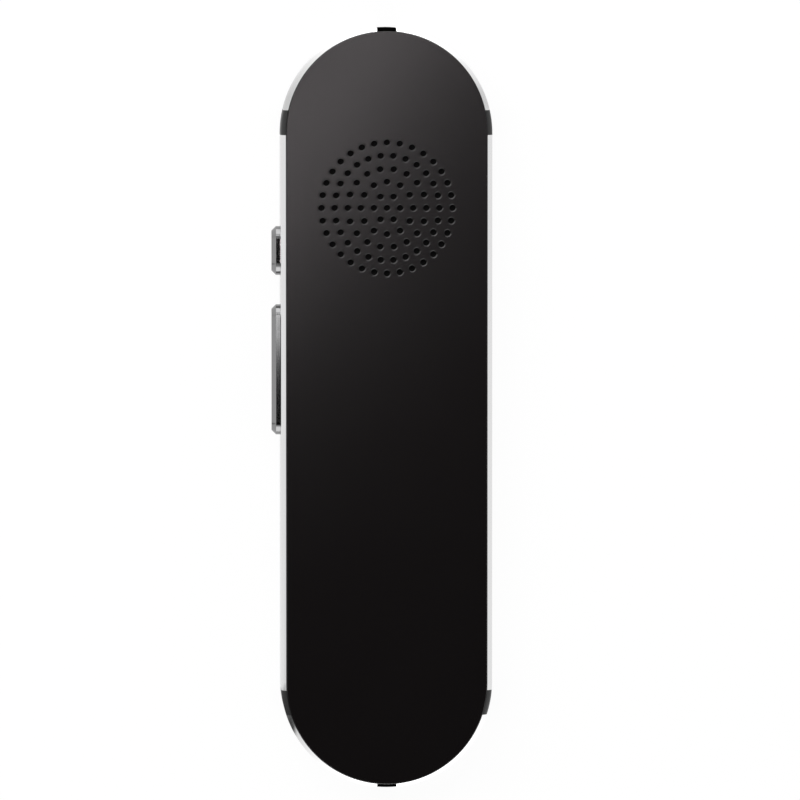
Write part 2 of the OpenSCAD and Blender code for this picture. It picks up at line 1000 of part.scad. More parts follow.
// Rubber roll between the cone and the basket, hanging down
module speaker_surround() {
    roll_middle = cone_rim + roll_thickness + roll_radius;
    roll_end = roll_middle + roll_radius;
    inner_lap = 0.9;
    thickness = gasket_bottom - surround_bottom;
    color([0.08, 0.08, 0.08])
        translate([0, speaker_y, surround_bottom])
            rotate_extrude() {
                intersection() {
                    difference() {
                        translate([roll_middle, 0])
                            circle(roll_radius + roll_thickness);
                        translate([roll_middle, 0])
                            circle(roll_radius);
                    }
                    translate([cone_rim - eps, -2 * roll_radius])
                        square([4 * roll_radius + eps, 2 * roll_radius]);
                }
                translate([roll_end, 0])
                    square([basket_radius - speaker_fit - roll_end, thickness]);
                translate([cone_rim - inner_lap, 0])
                    square([inner_lap + roll_thickness, thickness]);
            }
}

module speaker_leads() {
    color([0.7, 0.1, 0.1])
        for (side = [-1, 1])
            translate([side * lead_pitch / 2, speaker_y - speaker_lead_start, speaker_lead_z])
                rotate([0, 0, -90])
                    lead(speaker_lead_run, speaker_lead_z - lead_bend - board_top);
}

// ---- Electronics ----

module main_board() {
    screw_play = 0.15;
    color([0.05, 0.3, 0.18])
        difference() {
            translate([0, 0, board_bottom])
                pill(straight)
                    square([board_half, board_top - board_bottom]);
            for (place = board_screw_places)
                translate([place[0], place[1], 0])
                    cylinder(r = screw_radius + screw_play, h = body_thickness);
        }
}

module board_screws() {
    head_radius = 1.15;
    head_height = 0.6;
    recess = [1.5, 0.35, 0.7];
    color([0.7, 0.7, 0.72])
        for (place = board_screw_places)
            translate([place[0], place[1], board_bottom - head_height])
                difference() {
                    union() {
                        cylinder(r = head_radius, h = head_height);
                        cylinder(r = screw_radius, h = screw_top - board_bottom + head_height);
                    }
                    for (turn = [0, 90])
                        rotate([0, 0, turn])
                            cube(recess, center = true);
                }
}

module shield_can() {
    wall = 0.2;
    color([0.72, 0.73, 0.74])
        translate([shield_at[0], shield_at[1], board_top])
            difference() {
                translate([-shield_size[0] / 2, -shield_size[1] / 2, 0])
                    cube(shield_size);
                translate([wall - shield_size[0] / 2, wall - shield_size[1] / 2, -wall])
                    cube([shield_size[0] - 2 * wall, shield_size[1] - 2 * wall, shield_size[2]]);
            }
}

module chip(x, y, size) {
    color([0.07, 0.07, 0.08])
        translate([x - size[0] / 2, y - size[1] / 2, board_top])
            cube(size);
}

module processor() {
    size = [11, 11, 0.8];
    above_middle = 4;
    chip(shield_at[0], shield_at[1] + above_middle, size);
}

module memory_chip() {
    size = [11, 6, 0.7];
    below_middle = 6.2;
    chip(shield_at[0], shield_at[1] - below_middle, size);
}

module wireless_module() {
    size = [12, 9, 1.1];
    corner = 0.5;
    from_end = 6;
    color([0.72, 0.73, 0.74])
        translate([0, from_end - end_y, board_top])
            rounded_slab(size, corner);
}

module usb_shell() {
    cavity = [port_size[0] - 2 * port_wall, port_size[1] - 2 * port_wall];
    color([0.75, 0.75, 0.76])
        difference() {
            port_slot(port_size, port_back, port_back + port_depth);
            port_slot(cavity, port_back + port_floor, port_back + port_depth + eps);
        }
}

module usb_tongue() {
    setback = 0.9;
    tongue = [6.6, port_depth - port_floor - setback, 0.7];
    color([0.07, 0.07, 0.07])
        translate([-tongue[0] / 2, -port_back - port_floor - tongue[1], mid_z - tongue[2] / 2])
            cube(tongue);
}

module microphone() {
    mouth = [0.4, 0.3];
    color([0.7, 0.68, 0.6])
        translate([-mic_size[0] / 2, mic_y - mic_size[1] / 2, board_top])
            difference() {
                cube(mic_size);
                translate([mic_size[0] / 2, mic_size[1] / 2, mic_size[2] - mouth[1]])
                    cylinder(r = mouth[0], h = 2 * mouth[1]);
            }
}

// Rubber block with the sound channel from the microphone to the chassis wall
module microphone_boot() {
    boot_width = 4.4;
    boot_height = 1.7;
    boot_lap = 0.1;
    boot_start = mic_y - mic_size[1] / 2 - boot_lap;
    boot_bottom = board_top + mic_size[2];
    color([0.1, 0.1, 0.1])
        difference() {
            intersection() {
                translate([-boot_width / 2, boot_start, boot_bottom])
                    cube([boot_width, body_length, boot_height]);
                translate([0, end_y, 0])
                    cylinder(r = chassis_inner, h = body_thickness);
            }
            translate([0, mic_y, 0])
                cylinder(r = mic_channel, h = mid_z);
            mic_hole(mic_channel, mic_y, far_y);
        }
}

// ---- Battery ----

module battery() {
    corner = 1.2;
    color([0.75, 0.76, 0.78])
        translate([0, battery_start_y + battery_size[1] / 2, web_top + battery_pad_thickness])
            rounded_slab(battery_size, corner);
}

module battery_pad() {
    border = 3;
    corner = 1;
    color([0.9, 0.9, 0.85])
        translate([0, battery_start_y + battery_size[1] / 2, web_top])
            rounded_slab([battery_size[0] - 2 * border, battery_size[1] - 2 * border,
                battery_pad_thickness], corner);
}

module battery_leads() {
    color([0.7, 0.1, 0.1])
        for (side = [-1, 1])
            translate([battery_lead_x + side * lead_pitch / 2, battery_top_y, battery_lead_z])
                rotate([0, 0, 90])
                    lead(battery_lead_run, battery_lead_z - lead_bend - board_top - connector_height);
}

module battery_connector() {
    size = [4, 2.8, connector_height];
    corner = 0.3;
    color([0.85, 0.85, 0.8])
        translate([battery_lead_x, connector_y, board_top])
            rounded_slab(size, corner);
}

rear_panel();
front_panel();
left_rail();
right_rail();
upper_left_arc();
upper_right_arc();
lower_left_arc();
lower_right_arc();
upper_left_insert();
upper_right_insert();
lower_left_insert();
lower_right_insert();
top_insert();
bottom_insert();
chassis();
power_button();
power_dome();
volume_rocker();
volume_pin();
volume_domes();
side_key_flex();
side_key_bracket();
key_a();
key_b();
key_a_dome();
key_b_dome();
status_light();
light_pipe();
speaker_mesh();
speaker_gasket();
speaker_basket();
speaker_yoke();
speaker_magnet();
speaker_plate();
voice_coil();
speaker_cone();
speaker_surround();
speaker_leads();
main_board();
board_screws();
shield_can();
processor();
memory_chip();
wireless_module();
usb_shell();
usb_tongue();
microphone();
microphone_boot();
battery();
battery_pad();
battery_leads();
battery_connector();
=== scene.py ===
"""Finishes, panel seals, springing domes, light and camera for the pocket voice translator.

Lengths are in metres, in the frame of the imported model: X across, Y along
towards the loudspeaker end, Z up out of the grille. It lies on z = 0.
"""

import json
import math

import bmesh
import bpy
from mathutils import Matrix, Vector


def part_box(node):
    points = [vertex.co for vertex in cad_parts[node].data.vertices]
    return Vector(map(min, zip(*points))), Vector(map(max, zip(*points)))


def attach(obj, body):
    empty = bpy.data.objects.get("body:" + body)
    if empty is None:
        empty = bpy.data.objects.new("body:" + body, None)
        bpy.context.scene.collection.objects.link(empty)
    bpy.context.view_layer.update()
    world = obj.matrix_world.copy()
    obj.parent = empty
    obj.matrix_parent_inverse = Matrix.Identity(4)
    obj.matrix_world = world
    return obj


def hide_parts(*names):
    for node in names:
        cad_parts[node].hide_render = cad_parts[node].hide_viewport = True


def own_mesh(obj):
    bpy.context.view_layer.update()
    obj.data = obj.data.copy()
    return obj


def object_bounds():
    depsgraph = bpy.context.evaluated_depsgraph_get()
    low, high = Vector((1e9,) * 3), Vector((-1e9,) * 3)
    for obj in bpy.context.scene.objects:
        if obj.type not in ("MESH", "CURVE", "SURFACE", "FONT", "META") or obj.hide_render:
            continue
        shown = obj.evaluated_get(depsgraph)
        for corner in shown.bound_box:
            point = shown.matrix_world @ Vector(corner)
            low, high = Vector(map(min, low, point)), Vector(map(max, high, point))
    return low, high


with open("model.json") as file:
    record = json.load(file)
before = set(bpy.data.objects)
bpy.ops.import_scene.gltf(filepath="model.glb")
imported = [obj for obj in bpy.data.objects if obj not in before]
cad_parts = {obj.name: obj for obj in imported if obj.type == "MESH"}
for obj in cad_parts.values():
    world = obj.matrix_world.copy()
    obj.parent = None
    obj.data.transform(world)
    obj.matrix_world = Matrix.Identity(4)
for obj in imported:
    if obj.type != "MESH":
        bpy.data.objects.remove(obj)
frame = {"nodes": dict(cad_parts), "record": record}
cad_low, cad_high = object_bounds()

MM = 0.001


# ---- Shader maths ----

class Wire:
    """An output socket whose arithmetic adds Math nodes to its material."""

    def __init__(self, shader, socket):
        self.shader = shader
        self.socket = socket

    def maths(self, operation, *operands):
        return self.shader.node("Math", {"operation": operation}, dict(enumerate(operands)))

    def __add__(self, other):
        return self.maths("ADD", self, other)

    def __sub__(self, other):
        return self.maths("SUBTRACT", self, other)

    def __rsub__(self, other):
        return self.maths("SUBTRACT", other, self)

    def __mul__(self, other):
        return self.maths("MULTIPLY", self, other)

    def __gt__(self, other):
        return self.maths("GREATER_THAN", self, other)

    def __lt__(self, other):
        return self.maths("LESS_THAN", self, other)

    __radd__ = __add__
    __rmul__ = __mul__

    def sine(self):
        return self.maths("SINE", self)

    def size(self):
        return self.maths("ABSOLUTE", self)

    def clipped(self):
        return self.maths("MINIMUM", self.maths("MAXIMUM", self, 0), 1)


class Shader:
    """The node tree of one material or of the world."""

    def __init__(self, tree):
        self.tree = tree
        tree.nodes.clear()

    def node(self, kind, settings=None, sockets=None, output=0):
        """Adds a node with its settings, then its sockets' values or links, and gives one output."""
        made = self.tree.nodes.new("ShaderNode" + kind)
        for name, value in (settings or {}).items():
            if name == "stops":
                self.set_stops(made.color_ramp, value)
            else:
                setattr(made, name, value)
        for name, value in (sockets or {}).items():
            if isinstance(value, Wire):
                self.tree.links.new(value.socket, made.inputs[name])
            else:
                made.inputs[name].default_value = value
        return Wire(self, made.outputs[output]) if made.outputs else made

    def set_stops(self, ramp, stops):
        while len(ramp.elements) < len(stops):
            ramp.elements.new(1)
        for element, (place, level) in zip(ramp.elements, stops):
            element.position = place
            element.color = (level, level, level, 1)

    def ramp(self, wire, *stops):
        """Grey ramp through (place, level) stops."""
        return self.node("ValToRGB", {"stops": stops}, {0: wire})

    def place(self):
        """Place on the object, in its own metres."""
        return self.node("TexCoord", output="Object")

    def axes(self, vector=None):
        """The three parts of a vector."""
        split = self.node("SeparateXYZ", sockets={0: vector or self.place()}).socket.node
        return [Wire(self, socket) for socket in split.outputs]

    def stretched(self, scale, centre=(0, 0, 0)):
        """Place about a centre, scaled along each axis."""
        moved = self.node("VectorMath", {"operation": "SUBTRACT"}, {0: self.place(), 1: centre})
        return self.node("VectorMath", {"operation": "MULTIPLY"}, {0: moved, 1: scale})

    def noise(self, size, detail=3, roughness=0.5, stretch=(1, 1, 1)):
        """Cloudy noise whose patches are about size wide."""
        return self.node("TexNoise", {}, {
            "Vector": self.stretched(stretch), "Scale": 1 / size,
            "Detail": detail, "Roughness": roughness,
        }, "Fac")

    def cells(self, size):
        """Distance to the nearest of scattered points about size apart."""
        return self.node("TexVoronoi", {}, {"Vector": self.place(), "Scale": 1 / size}, "Distance")

    def blend(self, factor, first, second):
        """Colour between two colours."""
        return self.node("Mix", {"data_type": "RGBA"}, {"Factor": factor, 6: first, 7: second}, 2)

    def stripes(self, wire, pitch):
        """Sine wave along a length, one turn per pitch."""
        return (wire * (2 * math.pi / pitch)).sine()

    def bump(self, height, depth):
        """Normals of a height that runs from 0 to 1 over depth."""
        return self.node("Bump", {}, {"Strength": 1, "Distance": depth, "Height": height})


def rgb(red, green=None, blue=None, scale=1):
    """Colour with full alpha; one number gives a grey."""
    if green is None:
        green = blue = red
    return (red * scale, green * scale, blue * scale, 1)


def new_material(name):
    material = bpy.data.materials.new(name)
    material.use_nodes = True
    return material, Shader(material.node_tree)


def finish_surface(shader, **sockets):
    """Puts a Principled surface on the material; underscores in names stand for spaces."""
    named = {name.replace("_", " "): value for name, value in sockets.items()}
    surface = shader.node("BsdfPrincipled", {}, named)
    shader.node("OutputMaterial", {}, {"Surface": surface})


# ---- Finishes of the outside ----

def satin_panel(name):
    """Black moulded panel with a fine even grain and faint handling marks."""
    material, shader = new_material(name)
    grain_size, mark_size, grain_depth = 0.12 * MM, 16 * MM, 0.0003 * MM
    grain = shader.noise(grain_size, detail=2)
    marks = shader.ramp(shader.noise(mark_size, detail=4), (0.4, 0), (0.75, 1))
    finish_surface(
        shader,
        Base_Color=shader.blend(grain, rgb(0.0023, 0.0016, 0.0017), rgb(0.0027, 0.002, 0.0021)),
        Roughness=0.222 + 0.015 * grain + 0.008 * marks,
        Normal=shader.bump(grain, grain_depth),
    )
    return material


def polished_metal(name, tone, roughness, stretch):
    """Bright plated metal with polishing lines along it."""
    material, shader = new_material(name)
    line_size, line_depth, haze_size = 0.35 * MM, 0.0004 * MM, 9 * MM
    lines = shader.noise(line_size, detail=3, stretch=stretch)
    haze = shader.noise(haze_size, detail=2)
    finish_surface(
        shader,
        Base_Color=shader.blend(haze, rgb(*tone, scale=0.985), rgb(*tone)),
        Metallic=1.0,
        Roughness=roughness + 0.03 * lines + 0.02 * haze,
        Normal=shader.bump(lines, line_depth),
    )
    return material


def moulded_plastic(name, tone, roughness, grain_size, grain_depth, shine=0.5):
    """Moulded plastic with a grain and slight flow marks."""
    material, shader = new_material(name)
    flow_size, along_flow = 6 * MM, (1, 0.3, 1)
    grain = shader.noise(grain_size, detail=3)
    flow = shader.noise(flow_size, detail=3, stretch=along_flow)
    finish_surface(
        shader,
        Base_Color=shader.blend(flow, rgb(*tone, scale=0.88), rgb(*tone, scale=1.12)),
        Roughness=roughness - 0.05 + 0.1 * grain,
        Normal=shader.bump(grain, grain_depth),
        Specular_IOR_Level=shine,
    )
    return material


def woven_cloth(name):
    """Fine black cloth of crossing threads over the loudspeaker, with dust and painted shade where
    the threads part.
    """
    material, shader = new_material(name)
    thread, thread_depth, dust_size = 0.16 * MM, 0.04 * MM, 2 * MM
    across, along, _ = shader.axes()
    warp = shader.stripes(across, thread).size()
    weft = shader.stripes(along, thread).size()
    weave = warp.maths("MAXIMUM", warp, weft)
    dust = shader.noise(dust_size)
    finish_surface(
        shader,
        # Base colour: painted shade, darker where the threads part, and lighter in patches of dust.
        Base_Color=shader.blend(weave * dust, rgb(0.002), rgb(0.012, 0.0115, 0.012)),
        Roughness=0.9,
        Normal=shader.bump(weave, thread_depth),
        Sheen_Weight=0.1,
    )
    return material


# ---- Finishes of the inside ----

def brushed_metal(name, tone, roughness):
    """Sheet or turned metal with fine brushing across it."""
    material, shader = new_material(name)
    brush_size, brush_depth, along_brush, stain_size = 0.15 * MM, 0.002 * MM, (1, 0.04, 1), 4 * MM
    brushing = shader.noise(brush_size, detail=3, stretch=along_brush)
    stains = shader.noise(stain_size, detail=3)
    finish_surface(
        shader,
        Base_Color=shader.blend(stains, rgb(*tone, scale=0.92), rgb(*tone)),
        Metallic=1.0,
        Roughness=roughness + 0.12 * brushing,
        Normal=shader.bump(brushing, brush_depth),
    )
    return material


def flex_circuit(name):
    """Amber film with copper tracks under it."""
    material, shader = new_material(name)
    track_pitch, track_edge, track_depth, film_patch = 0.6 * MM, 0.35, 0.01 * MM, 1.5 * MM
    _, _, up = shader.axes()
    tracks = shader.stripes(up, track_pitch) > track_edge
    film = shader.noise(film_patch)
    amber = shader.blend(film, rgb(0.30, 0.13, 0.02), rgb(0.38, 0.17, 0.03))
    finish_surface(
        shader,
        Base_Color=shader.blend(tracks, amber, rgb(0.52, 0.24, 0.06)),
        Roughness=0.3 + 0.1 * film,
        Normal=shader.bump(tracks, track_depth),
    )
    return material


def lamp_body(name):
    """Milky lamp with a warm phosphor in its middle."""
    material, shader = new_material(name)
    phosphor_size = 0.4 * MM
    glow = shader.noise(phosphor_size)
    finish_surface(
        shader,
        Base_Color=shader.blend(glow, rgb(0.78, 0.72, 0.42), rgb(0.85, 0.83, 0.72)),
        Roughness=0.3 + 0.1 * glow,
    )
    return material


def clear_rod(name):
    """Clear moulded rod, slightly frosted."""
    material, shader = new_material(name)
    frost_size = 0.2 * MM
    frost = shader.noise(frost_size)
    finish_surface(
        shader,
        Base_Color=shader.blend(frost, rgb(0.86, 0.89, 0.90), rgb(0.92, 0.94, 0.95)),
        Roughness=0.12 + 0.1 * frost,
        Transmission_Weight=0.85,
        IOR=1.49,
    )
    return material


def cellular_foam(name, tone):
    """Foam tape with open cells, their hollows darkened by painted shade."""
    material, shader = new_material(name)
    pore_size, pore_depth = 0.18 * MM, 0.04 * MM
    pores = shader.cells(pore_size)
    finish_surface(
        shader,
        # Base colour: painted shade, darker towards the hollow middle of each cell.
        Base_Color=shader.blend(pores, rgb(*tone, scale=0.6), rgb(*tone, scale=1.2)),
        Roughness=0.92,
        Normal=shader.bump(pores, pore_depth),
    )
    return material


def wound_copper(name):
    """Enamelled winding, one turn above the other, with painted shade in the grooves between the
    turns.
    """
    material, shader = new_material(name)
    wire, turn_depth = 0.11 * MM, 0.04 * MM
    _, _, up = shader.axes()
    turns = shader.stripes(up, 2 * wire).size()
    finish_surface(
        shader,
        # Base colour: painted shade, dark in the grooves between the turns and bright copper on
        # their crests.
        Base_Color=shader.blend(turns, rgb(0.30, 0.11, 0.04), rgb(0.78, 0.36, 0.15)),
        Metallic=0.9,
        Roughness=0.38 - 0.1 * turns,
        Normal=shader.bump(turns, turn_depth),
    )
    return material


def pressed_film(name):
    """Dark pressed film with fine rings about the middle of the loudspeaker, painted darker in the
    troughs of the rings as shade.
    """
    material, shader = new_material(name)
    ring_pitch, ring_depth = 0.7 * MM, 0.03 * MM
    low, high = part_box("speaker_cone")
    middle = (low + high) / 2
    from_middle = shader.stretched((1, 1, 0), centre=tuple(middle))
    radius = shader.node("VectorMath", {"operation": "LENGTH"}, {0: from_middle}, "Value")
    rings = shader.stripes(radius, ring_pitch) * 0.5 + 0.5
    finish_surface(
        shader,
        # Base colour: painted shade, darker in the troughs of the rings.
        Base_Color=shader.blend(rings, rgb(0.010, 0.010, 0.011), rgb(0.024, 0.024, 0.026)),
        Roughness=0.42 + 0.1 * rings,
        Normal=shader.bump(rings, ring_depth),
    )
    return material


def soft_rubber(name):
    """Soft black rubber with a dry bloom."""
    material, shader = new_material(name)
    bloom_size, bloom_depth = 0.8 * MM, 0.006 * MM
    bloom = shader.noise(bloom_size, detail=4)
    finish_surface(
        shader,
        Base_Color=shader.blend(bloom, rgb(0.010), rgb(0.028, 0.027, 0.026)),
        Roughness=0.62 + 0.2 * bloom,
        Normal=shader.bump(bloom, bloom_depth),
    )
    return material


def lead_covers(name):
    """Two wire covers: one red and one black, parted at the middle of each pair."""
    material, shader = new_material(name)
    past_battery, wear_size = 1 * MM, 0.7 * MM
    low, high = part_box("battery_leads")
    across, along, _ = shader.axes()
    speaker_side = along > high.y + past_battery
    pair_middle = (1 - speaker_side) * ((low.x + high.x) / 2)
    positive = across > pair_middle
    wear = shader.noise(wear_size)
    red = shader.blend(wear, rgb(0.38, 0.012, 0.012), rgb(0.48, 0.02, 0.018))
    finish_surface(
        shader,
        Base_Color=shader.blend(positive, rgb(0.012), red),
        Roughness=0.4 + 0.15 * wear,
    )
    return material


def circuit_board(name):
    """Green solder mask over copper tracks."""
    material, shader = new_material(name)
    track_pitch, track_depth, bend_size, bend_reach = 0.9 * MM, 0.02 * MM, 7 * MM, 12 * MM
    track_edge, crossing_edge, mask_size = 0.55, 0.7, 0.5 * MM
    across, along, _ = shader.axes()
    bend = shader.noise(bend_size, detail=2) * bend_reach
    tracks = shader.stripes(across + bend, track_pitch) > track_edge
    crossing = shader.stripes(along - bend, track_pitch) > crossing_edge
    copper = tracks.maths("MAXIMUM", tracks, crossing)
    mask = shader.noise(mask_size)
    green = shader.blend(mask, rgb(0.006, 0.062, 0.028), rgb(0.008, 0.078, 0.036))
    finish_surface(
        shader,
        Base_Color=shader.blend(copper, green, rgb(0.018, 0.13, 0.055)),
        Roughness=0.3 + 0.1 * mask,
        Normal=shader.bump(copper, track_depth),
    )
    return material


def laminated_foil(name):
    """Aluminium laminate of the battery, drawn over the cell with small creases, painted darker in
    their hollows as shade.
    """
    material, shader = new_material(name)
    crease_size, crease_depth = 3 * MM, 0.05 * MM
    creases = shader.noise(crease_size, detail=5, roughness=0.6)
    finish_surface(
        shader,
        # Base colour: painted shade, darker in the hollows of the creases.
        Base_Color=shader.blend(creases, rgb(0.56, 0.57, 0.59), rgb(0.66, 0.67, 0.69)),
        Metallic=0.85,
        Roughness=0.34 + 0.12 * creases,
        Normal=shader.bump(creases, crease_depth),
    )
    return material


def contact_tongue(name):
    """Dark tongue of the charging socket, with a row of gilt contacts on both faces."""
    material, shader = new_material(name)
    contact_pitch, row_half, bare_tip = 0.5 * MM, 3.0 * MM, 0.5 * MM
    face_height, wear_size = 0.3 * MM, 0.3 * MM
    low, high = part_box("usb_tongue")
    across, along, up = shader.axes()
    bars = shader.stripes(across, contact_pitch) > 0
    in_row = (across.size() < row_half) * (along > low.y + bare_tip)
    on_face = (up - (low.z + high.z) / 2).size() > face_height
    gilt = bars * in_row * on_face
    wear = shader.noise(wear_size)
    gold = shader.blend(wear, rgb(0.75, 0.5, 0.2), rgb(0.85, 0.6, 0.28))
    finish_surface(
        shader,
        Base_Color=shader.blend(gilt, rgb(0.016), gold),
        Metallic=gilt,
        Roughness=0.5 - 0.25 * gilt + 0.05 * wear,
    )
    return material


ALONG_BAND = (1, 0.05, 1)

# Maker of each slot's finish, with its tone, roughness, grain size and depth, and shine
FINISHES = {
    "black_panel": (satin_panel,),
    "band": (polished_metal, (0.865, 0.865, 0.865), 0.09, ALONG_BAND),
    "side_key": (polished_metal, (0.3, 0.3, 0.303), 0.03, ALONG_BAND),
    "break_plastic": (moulded_plastic, (0.021, 0.021, 0.021), 0.42, 0.1 * MM, 0.003 * MM, 0.3),
    "end_plastic": (moulded_plastic, (0.001, 0.001, 0.001), 0.5, 0.1 * MM, 0.003 * MM, 0.0),
    "chassis_plastic": (moulded_plastic, (0.05, 0.052, 0.055), 0.55, 0.25 * MM, 0.008 * MM),
    "spring_steel": (brushed_metal, (0.7, 0.7, 0.7), 0.18),
    "steel": (brushed_metal, (0.6, 0.6, 0.62), 0.25),
    "flex_film": (flex_circuit,),
    "talk_key": (moulded_plastic, (0.02, 0.02, 0.021), 0.48, 0.09 * MM, 0.003 * MM),
    "lamp": (lamp_body,),
    "clear_plastic": (clear_rod,),
    "speaker_cloth": (woven_cloth,),
    "foam": (cellular_foam, (0.05, 0.05, 0.05)),
    "magnet": (brushed_metal, (0.62, 0.61, 0.58), 0.12),
    "copper": (wound_copper,),
    "cone_film": (pressed_film,),
    "soft_rubber": (soft_rubber,),
    "lead_cover": (lead_covers,),
    "board": (circuit_board,),
    "shield": (brushed_metal, (0.68, 0.69, 0.7), 0.28),
    "chip": (moulded_plastic, (0.015, 0.015, 0.017), 0.5, 0.06 * MM, 0.004 * MM),
    "battery_foil": (laminated_foil,),
    "connector": (moulded_plastic, (0.72, 0.70, 0.62), 0.5, 0.2 * MM, 0.004 * MM),
}


def finish_nodes():
    """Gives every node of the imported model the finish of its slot."""
    made = {slot: maker(slot, *values) for slot, (maker, *values) in FINISHES.items()}
    for part in frame["record"]["subparts"]:
        mesh = frame["nodes"][part["node"]].data
        mesh.materials.clear()
        mesh.materials.append(made[part["material_slot"]])
    frame["nodes"]["usb_tongue"].data.materials[0] = contact_tongue("contact_tongue")
    return made


def add_piece(name, mesh, material):
    """Piece of the housing with one material."""
    piece = bpy.data.objects.new(name, mesh)
    bpy.context.scene.collection.objects.link(piece)
    piece.data.materials.append(material)
    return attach(piece, "housing")


# ---- Seals of the two panels ----

PANEL_GAP = 0.1 * MM
SEAL_PLAY = 0.005 * MM
ARC_STEPS = 48


def sweep_round_bar(shape, rim, arc_middle):
    """Carries a section on the right side round a bar with round ends, back to its start."""
    for end in (1, -1):
        side = bmesh.ops.extrude_edge_only(shape, edges=rim)["geom"]
        corners = [part for part in side if isinstance(part, bmesh.types.BMVert)]
        bmesh.ops.translate(shape, vec=(0, 2 * end * arc_middle, 0), verts=corners)
        turned = bmesh.ops.spin(
            shape, geom=[part for part in side if isinstance(part, bmesh.types.BMEdge)],
            cent=(0, end * arc_middle, 0), axis=(0, 0, 1), angle=math.pi, steps=ARC_STEPS,
        )
        rim = [part for part in turned["geom_last"] if isinstance(part, bmesh.types.BMEdge)]
    bmesh.ops.remove_doubles(shape, verts=shape.verts, dist=0.001 * MM)
    bmesh.ops.recalc_face_normals(shape, faces=shape.faces)


def add_seal(name, panel, bottom, top, material):
    """Thin soft seal in the gap between a panel and the band."""
    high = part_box(panel)[1]
    arc_middle = high.y - high.x
    inner, outer = high.x + SEAL_PLAY, high.x + PANEL_GAP - SEAL_PLAY
    seal = bmesh.new()
    section = [(inner, bottom), (outer, bottom), (outer, top), (inner, top)]
    corners = [seal.verts.new((x, -arc_middle, z)) for x, z in section]
    rim = [seal.edges.new((corners[here - 1], corners[here])) for here in range(len(corners))]
    sweep_round_bar(seal, rim, arc_middle)
    mesh = bpy.data.meshes.new(name)
    seal.to_mesh(mesh)
    seal.free()
    add_piece(name, mesh, material)


def make_seals(material):
    """A seal round each panel, sunk a little below the rim of the band."""
    sunk, deep = 0.85 * MM, 1.28 * MM
    rear_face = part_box("rear_panel")[1].z
    front_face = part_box("front_panel")[0].z
    add_seal("rear_seal", "rear_panel", rear_face - deep, rear_face - sunk, material)
    add_seal("front_seal", "front_panel", front_face + sunk, front_face + deep, material)


# ---- Snap domes under the keys ----

# Node of each dome, joint that presses it, and the direction in which it flattens
DOMES = {
    "power_spring": ("power_dome", "power_press", (1, 0, 0)),
    "volume_springs": ("volume_domes", "volume_rock", (1, 0, 0)),
    "key_a_spring": ("key_a_dome", "key_a_press", (0, 0, 1)),
    "key_b_spring": ("key_b_dome", "key_b_press", (0, 0, 1)),
}


def add_springs(material):
    """Domes in their nodes' shapes, put in place of the nodes, which are hidden."""
    for name, (node, joint, axis) in DOMES.items():
        shape = bmesh.new()
        shape.from_mesh(frame["nodes"][node].data)
        bmesh.ops.remove_doubles(shape, verts=shape.verts, dist=0.001 * MM)
        mesh = bpy.data.meshes.new(name)
        shape.to_mesh(mesh)
        shape.free()
        spring = add_piece(name, mesh, material)
        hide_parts(node)
        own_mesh(spring)


# ---- Floor, light and camera ----

FLOOR_HALF = 2.0
FLOOR_DROP = 0.02 * MM


def make_floor():
    """White floor that keeps the translator's shadow."""
    grid = bmesh.new()
    bmesh.ops.create_grid(grid, x_segments=1, y_segments=1, size=FLOOR_HALF)
    bmesh.ops.translate(grid, vec=(0, 0, cad_low.z - FLOOR_DROP), verts=grid.verts)
    mesh = bpy.data.meshes.new("floor")
    grid.to_mesh(mesh)
    grid.free()
    floor = bpy.data.objects.new("floor", mesh)
    bpy.context.scene.collection.objects.link(floor)
    floor.data.materials.append(floor_material())


def floor_material():
    """White to the camera but for a shadow; mirrored, it carries the tones of the wall."""
    seen_share, matt_tone = 0.94, 0.95
    arc_middle = cad_high.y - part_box("right_rail")[1].x
    material, shader = new_material("floor_white")
    path = shader.node("LightPath").socket.node
    seen = Wire(shader, path.outputs["Is Camera Ray"])
    glossy = Wire(shader, path.outputs["Is Glossy Ray"])
    through = Wire(shader, path.outputs["Is Transmission Ray"])
    across, along, _ = shader.axes()
    beside = along.maths("MAXIMUM", along.maths("MINIMUM", along, arc_middle), -arc_middle)
    tone = shader.blend(seen, wall_tone(shader, across, along - beside), rgb(1))
    matt = shader.node("BsdfDiffuse", {}, {"Color": rgb(matt_tone)})
    bright = shader.node("Emission", {}, {"Color": tone, "Strength": seen + (1 - seen) * BRIGHTEST})
    share = (seen * seen_share + glossy + through).clipped()
    surface = shader.node("MixShader", {}, {0: share, 1: matt, 2: bright})
    shader.node("OutputMaterial", {}, {"Surface": surface})
    return material


# Brightness of the studio's wall by its direction, in degrees round from the right side
BRIGHTEST = 2.0
WALL_TONES = [
    (-180, 0.86), (-175, 0.85), (-172, 0.45), (-163, 0.12), (-158, 0.12), (-155, 0.06),
    (-150.5, 0.08), (-148.3, 0.4), (-146.5, 0.75), (-140, 0.88), (-130, 1.08), (-120, 1.3),
    (-100, 2.0), (-60, 2.0), (-30, 1.3), (-20, 1.1), (-8, 0.86), (8, 0.86), (15, 0.68),
    (22, 0.7), (30, 0.87), (40, 1.0), (52, 1.3), (75, 2.0), (105, 2.0), (120, 1.3),
    (130, 1.07), (140, 0.9), (150, 0.78), (160, 0.66), (168, 0.68), (180, 0.86),
]


def wall_tone(shader, across, along):
    """Brightness of the wall in a level direction, as a share of the brightest."""
    turn = across.maths("ARCTAN2", along, across) * (0.5 / math.pi) + 0.5
    stops = [(degrees / 360 + 0.5, tone / BRIGHTEST) for degrees, tone in WALL_TONES]
    return shader.ramp(turn, *stops)


